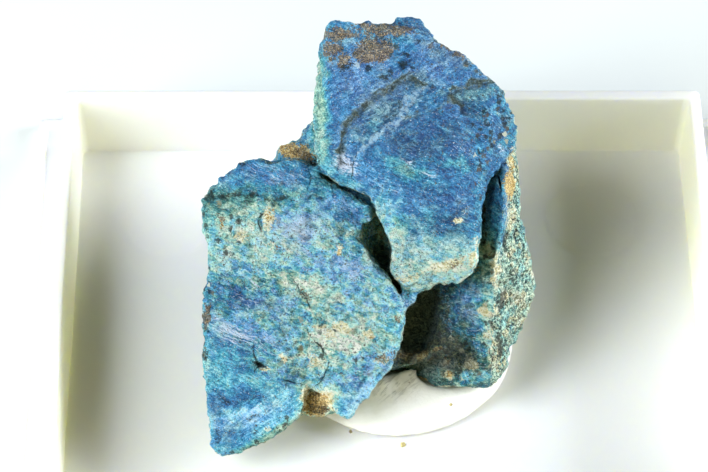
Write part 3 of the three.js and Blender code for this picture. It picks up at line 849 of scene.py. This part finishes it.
def stone_patterns(n):
    """What several parts of the stone's material share."""
    at = n.read("stone_mm", "Vector")
    bent = n.bent(at, 0.35, 1.6)
    p = SimpleNamespace(at=at, bent=bent, crumpled=n.read("crumpled"), behind=n.read("behind"))
    for name, (gain, *settings) in NOISES.items():
        setattr(p, name, n.spread(n.noise(at, *settings), gain))
    p.mottle = n.spread(n.strands(at, (1.5, 2.3, 2), 20, 4, 0.64, 1.6), 3)
    p.mixed = 0.6 * p.mottle + 0.4 * p.grain
    both = [n.spread(n.strands(bent, (0.3, 4.6, 3), angle, 3, 0.65), 2.6) for angle in (26, -34)]
    p.fibres = n.mix(n.read("climbing"), *both)
    # fine streaks, for the painted silky sheen and the painted highlight along the crest
    p.streaks = n.spread(n.strands(bent, (0.45, 7.5, 4), 28, 2, 0.6), 2.6)
    # narrow creases, which get painted shade and are sunk in the relief
    p.creased = n.step(abs(n.noise(at, 0.8, 3, 0.6, 1) - 0.5), 0.018, 0.004) * n.step(p.other, 0.4, 0.65)
    p.creased *= 0.2 + 0.7 * p.crumpled
    p.pepper = n.step(n.noise(at, 2.6, 4, 0.7, 0.6), 0.32, 0.25)
    p.hairline = n.step(abs(n.read("crack_side")), 1.5, 0.6) * n.step(n.read("crack_reach"), 0.1, 0.5)
    p.hairline *= n.step(p.mottle, 0.15, 0.5)
    return p


def mineral_colour(n, hue, tone):
    """Blends the hues in turn, each with its own scale from dark to light."""
    colour = None
    for scale, takes_over in HUES:
        shade = n.ramp(tone, list(zip(TONE_STOPS, scale)))
        colour = shade if colour is None else n.mix(n.step(hue, *takes_over), colour, shade)
    return colour


def face_colour(n, p):
    """The blue of the face, from its hue and tone broken up by noise, and that tone."""
    hue = n.read("hue") + 0.13 * p.patchy + 0.13 * p.blotch + 0.06 * p.fibres - 0.16
    hue += (0.2 * p.patchy + 0.14 * p.blotch - 0.17) * p.crumpled
    drift = 0.22 * p.grain + 0.26 * p.sand + 0.28 * p.mottle + 0.18 * p.blotch - 0.47
    tone = n.read("tone") + drift * (1 - 0.3 * p.crumpled) + 0.09 * p.crumpled
    # the pits' share: darker in pits from dirt and painted shade, lighter on points that stand out as a
    # painted highlight
    tone = tone + (p.fibres - 0.5) * (0.3 - 0.16 * p.crumpled) - 0.1 * n.read("pits")
    flakes = n.cells(n.stretched(n.bent(p.at, 1.3, 1), (0.6, 1.2, 1), 20), 1)
    chips = n.cells(n.stretched(n.bent(p.at, 2.4, 0.5), (1.7, 3.6, 3), 26), 1)
    for share, flake in ((0.27, flakes), (0.28, chips)):
        hue += (flake[0] - 0.5) * share * p.crumpled
        tone += (flake[1] - 0.5) * share * p.crumpled
    film = n.step(0.7 * p.broad + 0.4 * p.blotch + 0.2 * p.other + 0.8 * n.read("chalky"), 0.55, 1.5)
    return n.mix(0.5 * film, mineral_colour(n, hue, tone), n.ramp(tone, CHALK)), tone


def fleck_face(n, p, colour):
    """Painted highlight and painted shade flecks, painted shade in creases, dark pepper, white silky
    tufts with painted sheen, and painted glints on sparkling grains.
    """
    flecked = 0.14 + 0.34 * p.crumpled
    # bright flecks: painted highlights on the crinkles
    fleck = n.step(n.strands(p.bent, (1.7, 4.4, 3), 18, 3, 0.6, 1), 0.57, 0.64)
    colour = n.mix(fleck * flecked, colour, HIGHLIGHT_FLECK)
    # dark flecks: painted shade on the crinkles
    fleck = n.step(n.strands(p.bent, (1.5, 3.6, 3), -20, 3, 0.6, 1.2), 0.42, 0.35)
    colour = n.mix(fleck * flecked, colour, SHADE_FLECK)
    # painted shade in the creases
    colour = n.mix(p.creased, colour, CREASE_SHADE)
    colour = n.mix(0.6 * p.pepper, colour, PEPPER)
    # white fibres, with painted silky sheen along the streaks
    tuft_and_sheen = 0.6 * p.streaks + 0.35 * p.fibres + 0.2 * p.grain + 0.75 * n.read("white")
    colour = n.mix(0.9 * n.step(tuft_and_sheen, 1, 1.55), colour, TUFT_AND_SHEEN)
    # painted glints on sparkling grains
    painted_glints = n.step(n.noise(p.at, 5, 1, 0.4), 0.7, 0.76)
    return n.mix(0.6 * painted_glints, colour, SPARKLE_HIGHLIGHT)


def line_ridges(n, p, colour, tone):
    """Dark step lines on the upper plate, partly their own colour and partly painted shade, painted shade
    below them, and a painted highlight along the crest below.
    """
    step_shading = n.read("step_shading") + 0.3 * p.other + 0.4 * p.blotch - 0.35
    # painted shade below the steps, then the dark line of each step, partly its own colour and partly
    # painted shade
    colour = n.mix(0.55 * n.step(step_shading, 0.15, 1), colour, n.ramp(tone, STEP_SHADE))
    colour = n.mix(0.85 * n.step(step_shading, 0.74, 1.1), colour, n.ramp(p.grain, STEP_LINE_AND_SHADE))
    # painted highlight along the crest
    crest_light = n.read("crest") + 0.5 * p.blotch + 0.5 * p.streaks + 0.3 * p.grain - 0.65
    return n.mix(0.6 * n.step(crest_light, 0.4, 1), colour, CREST_HIGHLIGHT)


def rind_colour(n, p):
    """The granular crust on the sides and the back, and a random number for each grain."""
    small = n.cells(p.at, 4.4)
    large = n.cells(n.bent(p.at, 2, 0.5), 1.7)
    tone = 0.5 * small[0] + 0.36 * large[0] + 0.5 * p.other + 0.5 * p.mottle - 0.36
    # darker in pits from dirt and painted shade, lighter on points that stand out as a painted highlight
    tone -= 0.16 * n.read("pits")
    tone -= 0.45 * n.step(n.noise(p.at, 3, 3, 0.7, 0.8), 0.46, 0.34)
    # painted glints: scattered grains made lighter as painted highlights
    tone += 0.5 * n.step(n.noise(p.at, 4.2, 3, 0.7, 0.5), 0.54, 0.61)
    tone -= 0.4 * n.step(n.noise(p.at, 5.2, 3, 0.7, 0.3), 0.46, 0.38)
    tone = 1.5 * tone - 0.3
    tone += (0.5 * tone + 0.3 * p.broad + 0.05 - tone) * p.behind
    hue = 0.2 * large[1] + 0.2 * p.patchy + 0.24 * p.broad + 0.05 * small[1] + 0.46
    olive = n.step(0.5 * p.patchy + 0.5 * large[2], 0.55, 0.85)
    crust = n.mix(0.7 * olive, mineral_colour(n, hue, tone), n.ramp(tone, EARTH))
    white = n.step(n.noise(p.at, 6, 2, 0.6, 0.3), 0.58, 0.68)
    crust = n.mix(white * (0.65 - 0.45 * p.behind), crust, PALE_CRUST)
    bare = n.step(n.noise(p.at, 0.24, 3, 0.6, 1) + 0.1 * p.other, 0.5, 0.58)
    plain = 0.4 * p.mottle + 0.3 * p.other + 0.3 * p.patchy - 0.06
    plain = mineral_colour(n, 0.5 * p.broad + 0.16 * p.patchy + 0.14, plain)
    crust = n.mix(bare * (0.8 * p.behind), crust, plain)
    stained = n.step(n.noise(p.at, 0.33, 3, 0.6, 1.2), 0.57, 0.63)
    crust = n.mix(stained * (0.7 * p.behind), crust, n.ramp(tone, STAIN))
    return crust, small[2]


def scatter_dots(n, p, colour):
    """Scattered dots of dark, brown and cream grains."""
    dots = n.add("TexVoronoi", "Color", {"Vector": n.bent(p.at, 2, 0.35), "Scale": 1.25})
    kind = n.add("SeparateColor", 0, {"Color": dots})
    dotted = n.step(dots["Distance"] + 0.5 * p.other - 0.25, 0.5, 0.34)
    dotted *= n.step(kind[0] + n.read("speckled"), 0.95, 1.05)
    return n.mix(0.85 * dotted, colour, n.ramp(kind[1], DOTS))


def stain_face(n, p, colour):
    """Cream nodules, ochre stains and brown patches."""
    creams = n.ramp(p.mixed, CREAM)
    colour = n.mix(0.9 * n.covered("cream", p.other, p.mottle, 0.32, 0.75), colour, creams)
    ochres = n.ramp(0.5 * p.mixed + 0.5 * p.sand, OCHRE)
    colour = n.mix(0.9 * n.covered("ochre", p.other, p.grain, 0.34, 0.66, 1.7), colour, ochres)
    browns = n.ramp(0.7 * p.sand + 0.3 * p.mottle, BROWN)
    browns = n.mix(0.5 * n.step(p.grain, 0.58, 0.85), browns, BLUE_GRAIN)
    return n.mix(0.88 * n.covered("brown", p.other, p.grain, 0.32, 0.6, 1.7), colour, browns)


def darken(n, p, colour):
    """Dark grains, hairline cracks, dirt and painted shade in pits, and painted shade in places that
    little light reaches.
    """
    colour = n.mix(0.85 * n.covered("dark", p.grain, p.other, 0.36, 0.62, 2), colour, DARK_GRAIN)
    colour = n.mix(0.9 * p.hairline, colour, HAIRLINE)
    # painted shade in the recesses, lighter deep inside the hollow
    hollow = n.step(n.read("recess_shade") + 0.3 * p.other - 0.15, 0.1, 0.8)
    shade = n.mix(n.read("deep"), n.ramp(p.mixed, HOLLOW_SHADE), n.ramp(p.mixed, DEEP_HOLLOW))
    colour = n.mix(0.75 * hollow, colour, shade)
    # dirt and painted shade in the pits
    return n.mix(0.35 * n.step(n.read("pits"), 0.4, 1), colour, PIT_DIRT_AND_SHADE)


def stone_material():
    n = Nodes("aerinite")
    p = stone_patterns(n)
    colour, tone = face_colour(n, p)
    colour = line_ridges(n, p, fleck_face(n, p, colour), tone)
    crust, cell = rind_colour(n, p)
    rind = n.step(n.read("rind") + 0.25 * p.other + 0.25 * p.mottle - 0.25, 0.3, 0.75)
    colour = scatter_dots(n, p, n.mix(rind, colour, crust))
    colour = darken(n, p, stain_face(n, p, colour))
    wrinkled = n.step(abs(n.noise(p.at, 0.9, 4, 0.62, 1.2) - 0.5), 0, 0.07)
    wrinkled += 0.6 * n.step(abs(n.noise(p.at, 2.2, 3, 0.6, 0.8) - 0.5), 0, 0.09)
    relief = 0.5 * p.grain + 0.6 * p.mottle + 0.3 * p.fibres + 0.8 * (cell * rind) - 0.5 * p.creased
    relief = relief - 1.2 * p.hairline - 0.5 * p.pepper + 0.6 * (wrinkled * p.crumpled)
    return n.finish({
        "Base Color": colour,
        "Roughness": 0.85 - 0.3 * p.fibres,
        "Specular IOR Level": 0.4,
        "Normal": n.bump(relief, 0.2 * MM),
    })


PUTTY_BASE = [(0.3, (240, 239, 230)), (0.7, (251, 251, 246))]
PUTTY_STREAK = srgb(120, 122, 116)
PUTTY_GRIT = srgb(120, 96, 66)
PLASTIC = [(0.35, (246, 243, 227)), (0.65, (249, 246, 235))]


def putty_material():
    n = Nodes("mounting_putty")
    at = n.place()
    colour = n.ramp(n.noise(at, 260, 4, 0.6), PUTTY_BASE)
    scratch = n.step(n.noise(n.stretched(at, (1, 5, 1), -38), 700, 4, 0.6), 0.5, 0.62)
    smear = n.math("MULTIPLY", scratch, n.read("streaked_smear"), clamp=True)
    # grey streaks over the smear in front of the stone
    colour = n.mix(0.42 * smear, colour, PUTTY_STREAK)
    colour = n.mix(0.8 * n.step(n.noise(at, 1400, 1, 0.4), 0.76, 0.8), colour, PUTTY_GRIT)
    return n.finish({
        "Base Color": colour,
        "Roughness": 0.62,
        "Subsurface Weight": 0.15,
        "Subsurface Scale": 1 * MM,
        "Subsurface Radius": (1, 0.9, 0.7),
        "Normal": n.bump(n.noise(at, 700, 4, 0.65), 0.18 * MM, 0.9),
    })


def tray_material():
    n = Nodes("white_plastic")
    at = n.place()
    cloud = n.noise(at, 30, 3, 0.5)
    return n.finish({
        "Base Color": n.ramp(cloud, PLASTIC),
        "Roughness": 0.24 + 0.14 * cloud,
        "Subsurface Weight": 0.65,
        "Subsurface Scale": 5 * MM,
        "Subsurface Radius": (1, 0.88, 0.4),
        "Normal": n.bump(n.noise(at, 1500, 2, 0.5), 0.01 * MM, 0.3),
    })


# ---- the putty ----

PUTTY_VOXEL = 0.3
PUTTY_SWELL = 0.25
SMEAR_AT = (0.5, -7.5)
SMEAR_SIZE = (4.5, 4)
SMEAR_RIDGES = 0.08
RIDGE_SPACING = 0.55
EDGE_SINK = 0.33  # takes the putty's edge down to the tray's floor


def shape_putty(obj):
    """Gives the plain lump its dents, and the ridges of a smear in front of the stone."""
    remesh(obj, PUTTY_VOXEL)
    relax(obj, 4)
    points = get_points(obj) / MM
    normals = get_normals(obj)
    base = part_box("putty")[0].z / MM
    top = smoothstep(base + 0.2, base + 1.2, points[:, 2])
    lumps = 0.35 * noise(points, 6, seed=51) + 0.16 * noise(points, 2.2, seed=52)
    across = points[:, 0] + 0.6 * points[:, 1] + noise(points, 2.5, seed=53)
    ridges = SMEAR_RIDGES * np.sin(2 * math.pi * across / RIDGE_SPACING)
    smear = (points[:, :2] - SMEAR_AT) / SMEAR_SIZE
    pressed = 1 - smoothstep(0.5, 1.1, np.hypot(smear[:, 0], smear[:, 1]))
    move = (PUTTY_SWELL + lumps + ridges * pressed + 0.16 * pressed * noise(points, 0.9, seed=54)) * top
    points += normals * move[:, None]
    points[:, 2] -= EDGE_SINK * smoothstep(base + 0.8, base, points[:, 2])
    set_points(obj, points * MM)
    store(obj, "streaked_smear", pressed)


# ---- the tray ----

TRAY_WIDTH = 80
TRAY_DEPTH = 65
FLANGE = 4.2
FLANGE_TOP = 1
BEAD_WIDTH = 1
BEAD_SLOPE = 0.2
BEAD_TOP = 1.4
WALL = 1.5
DRAFT = 0.3
FLOOR = 2
HEIGHT = 11.8
PLAN_CORNER = 0.8
FLOOR_REACH = 10  # inset that the section's last stretch heads for
RING_RADIUS = 6.16
RING_PLACES = [(26.5, 19.5), (-26.5, 19.5)]
RING_LINE = 0.5
RING_DEPTH = 0.16
WELD = 0.001  # joins corners that are this near each other


def round_section():
    """The wall's section as (inset, height), with each corner rounded, from underside to floor."""
    corners = [
        # inset, height, radius
        (-FLANGE, 0, 0.25), (-FLANGE, BEAD_TOP, 0.3), (BEAD_WIDTH - FLANGE, BEAD_TOP, 0.3),
        (BEAD_WIDTH + BEAD_SLOPE - FLANGE, FLANGE_TOP, 0.15), (0, FLANGE_TOP, 0.3), (0, HEIGHT, 0.3),
        (WALL, HEIGHT, 0.3), (WALL + DRAFT, FLOOR, 0.2),
    ]
    ends = [(0, 0)] + [c[:2] for c in corners] + [(FLOOR_REACH, FLOOR)]
    section = []
    for k, (x, z, radius) in enumerate(corners):
        here = Vector((x, z))
        back = (Vector(ends[k]) - here).normalized()
        on = (Vector(ends[k + 2]) - here).normalized()
        reach = radius / math.tan(back.angle(on) / 2)
        start = here + back * reach
        end = here + on * reach
        for t in np.linspace(0, 1, 5):
            section.append((start * (1 - t) + here * t) * (1 - t) + (here * (1 - t) + end * t) * t)
    return section


def plan_ring(inset, z):
    """The tray's outline in plan, this far in from the walls' outside."""
    half_x = TRAY_WIDTH / 2 - inset - PLAN_CORNER
    half_y = TRAY_DEPTH / 2 - inset - PLAN_CORNER
    ring = []
    for sx, sy, start in ((1, 1, 0), (-1, 1, 90), (-1, -1, 180), (1, -1, 270)):
        for angle in np.radians(np.linspace(start, start + 90, 7)):
            x = sx * half_x + PLAN_CORNER * math.cos(angle)
            y = sy * half_y + PLAN_CORNER * math.sin(angle)
            ring.append((x, y, z))
    return ring


def flat_cap(rings):
    """Triangles that fill the first ring, with the rings inside it as edges."""
    points = []
    edges = []
    for ring in rings:
        first = len(points)
        points += [Vector(p[:2]) for p in ring]
        edges += [(first + i, first + (i + 1) % len(ring)) for i in range(len(ring))]
    result = delaunay_2d_cdt(points, edges, [], 1, 1e-6)
    return [tuple(p) for p in result[0]], result[2]


def circle(centre, radius, sides=72):
    angles = np.linspace(0, 2 * math.pi, sides, endpoint=False)
    return [(centre[0] + radius * math.cos(a), centre[1] + radius * math.sin(a)) for a in angles]


def floor_height(x, y):
    """The height of the tray's floor, with its two faint moulding rings."""
    groove = min(abs(math.hypot(x - cx, y - cy) - RING_RADIUS) for cx, cy in RING_PLACES)
    return FLOOR - (RING_DEPTH if groove < RING_LINE / 2 else 0)


def weld(obj):
    mesh = bmesh.new()
    mesh.from_mesh(obj.data)
    bmesh.ops.remove_doubles(mesh, verts=mesh.verts, dist=WELD * MM)
    bmesh.ops.recalc_face_normals(mesh, faces=mesh.faces)
    mesh.to_mesh(obj.data)
    mesh.free()


def make_tray():
    rings = [plan_ring(inset, z) for inset, z in round_section()]
    count = len(rings[0])
    vertices = [p for ring in rings for p in ring]
    faces = []
    for low in range(0, (len(rings) - 1) * count, count):
        high = low + count
        for i in range(count):
            j = (i + 1) % count
            faces.append((low + i, low + j, high + j, high + i))
    faces.append(tuple(reversed(range(count))))
    radii = (RING_RADIUS - RING_LINE, RING_RADIUS, RING_RADIUS + RING_LINE)
    circles = [circle(place, radius) for place in RING_PLACES for radius in radii]
    cap, triangles = flat_cap([rings[-1]] + circles)
    first = len(vertices)
    vertices += [(x, y, floor_height(x, y)) for x, y in cap]
    faces += [tuple(first + k for k in triangle) for triangle in triangles]
    tray = mesh_object("tray", np.array(vertices) * MM, faces)
    weld(tray)
    return tray


def even_normals(obj):
    """Keeps broad flat walls flat, and only their rounded edges soft."""
    modifier = obj.modifiers.new("normals", "WEIGHTED_NORMAL")
    modifier.weight = 100
    apply_modifiers(obj)


# ---- crumbs of stone ----

CRUMBS = [
    # x, y, the height they rest at, size
    (1.9, -14.9, FLOOR, 0.34), (-4.3, -13.4, FLOOR + 0.6, 0.22), (7.6, -10.9, FLOOR + 2.6, 0.24),
    (12.9, -4.4, FLOOR + 2.6, 0.16), (9, -7, FLOOR + 4.3, 0.16), (-6.4, -11.2, FLOOR + 2, 0.18),
    (4.7, -8.4, FLOOR + 4.4, 0.15),
]
CRUMB_ROUGH = 0.35
CRUMB_FLAT = 0.7
CRUMB_RISE = 0.45
CRUMB_COLOURS = [(0.35, (96, 78, 48)), (0.6, (220, 204, 140))]


def make_crumbs():
    mesh = bmesh.new()
    rng = np.random.default_rng(SEED)
    for x, y, z, size in CRUMBS:
        made = bmesh.ops.create_icosphere(mesh, subdivisions=2, radius=size * MM)["verts"]
        for vertex in made:
            vertex.co *= 1 + CRUMB_ROUGH * (rng.random() - 0.5)
            vertex.co.z *= CRUMB_FLAT
            vertex.co += Vector((x, y, z + size * CRUMB_RISE)) * MM
    data = bpy.data.meshes.new("crumbs")
    mesh.to_mesh(data)
    mesh.free()
    return link(bpy.data.objects.new("crumbs", data))


def crumb_material():
    n = Nodes("crumbs")
    colour = n.ramp(n.noise(n.place(), 1100, 3, 0.7), CRUMB_COLOURS)
    return n.finish({"Base Color": colour, "Roughness": 0.8})


# ---- studio floor ----

STUDIO_SIZE = 3
STUDIO_DROP = 0.0001  # keeps it clear of the tray's underside
STUDIO_COLOURS = [(0.3, (219, 223, 218)), (0.7, (223, 226, 222))]


def make_floor():
    corners = [(x * STUDIO_SIZE, y * STUDIO_SIZE, 0) for x, y in ((-1, -1), (1, -1), (1, 1), (-1, 1))]
    floor = mesh_object("floor", corners, [(0, 1, 2, 3)])
    floor.location.z = -STUDIO_DROP
    n = Nodes("studio_floor")
    colour = n.ramp(n.noise(n.place(), 4), STUDIO_COLOURS)
    floor.data.materials.append(n.finish({"Base Color": colour, "Roughness": 0.9}))


# ---- putting it together ----

make_camera()
make_lights()
make_floor()

stone = copy_of("aerinite_rock", "stone")
shape_stone(stone)
thin_out(stone, FACE_TRIANGLES)
paint_stone(stone)
smooth_shade(stone)
stone.data.materials.append(stone_material())
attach(stone, "root")
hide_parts("aerinite_rock")

lump = copy_of("putty", "mounting_putty")
shape_putty(lump)
smooth_shade(lump)
lump.data.materials.append(putty_material())
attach(lump, "root")
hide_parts("putty")

tray = make_tray()
smooth_shade(tray)
even_normals(tray)
tray.data.materials.append(tray_material())
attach(tray, "root")
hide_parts("display_tray")

crumbs = make_crumbs()
crumbs.data.materials.append(crumb_material())
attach(crumbs, "root")
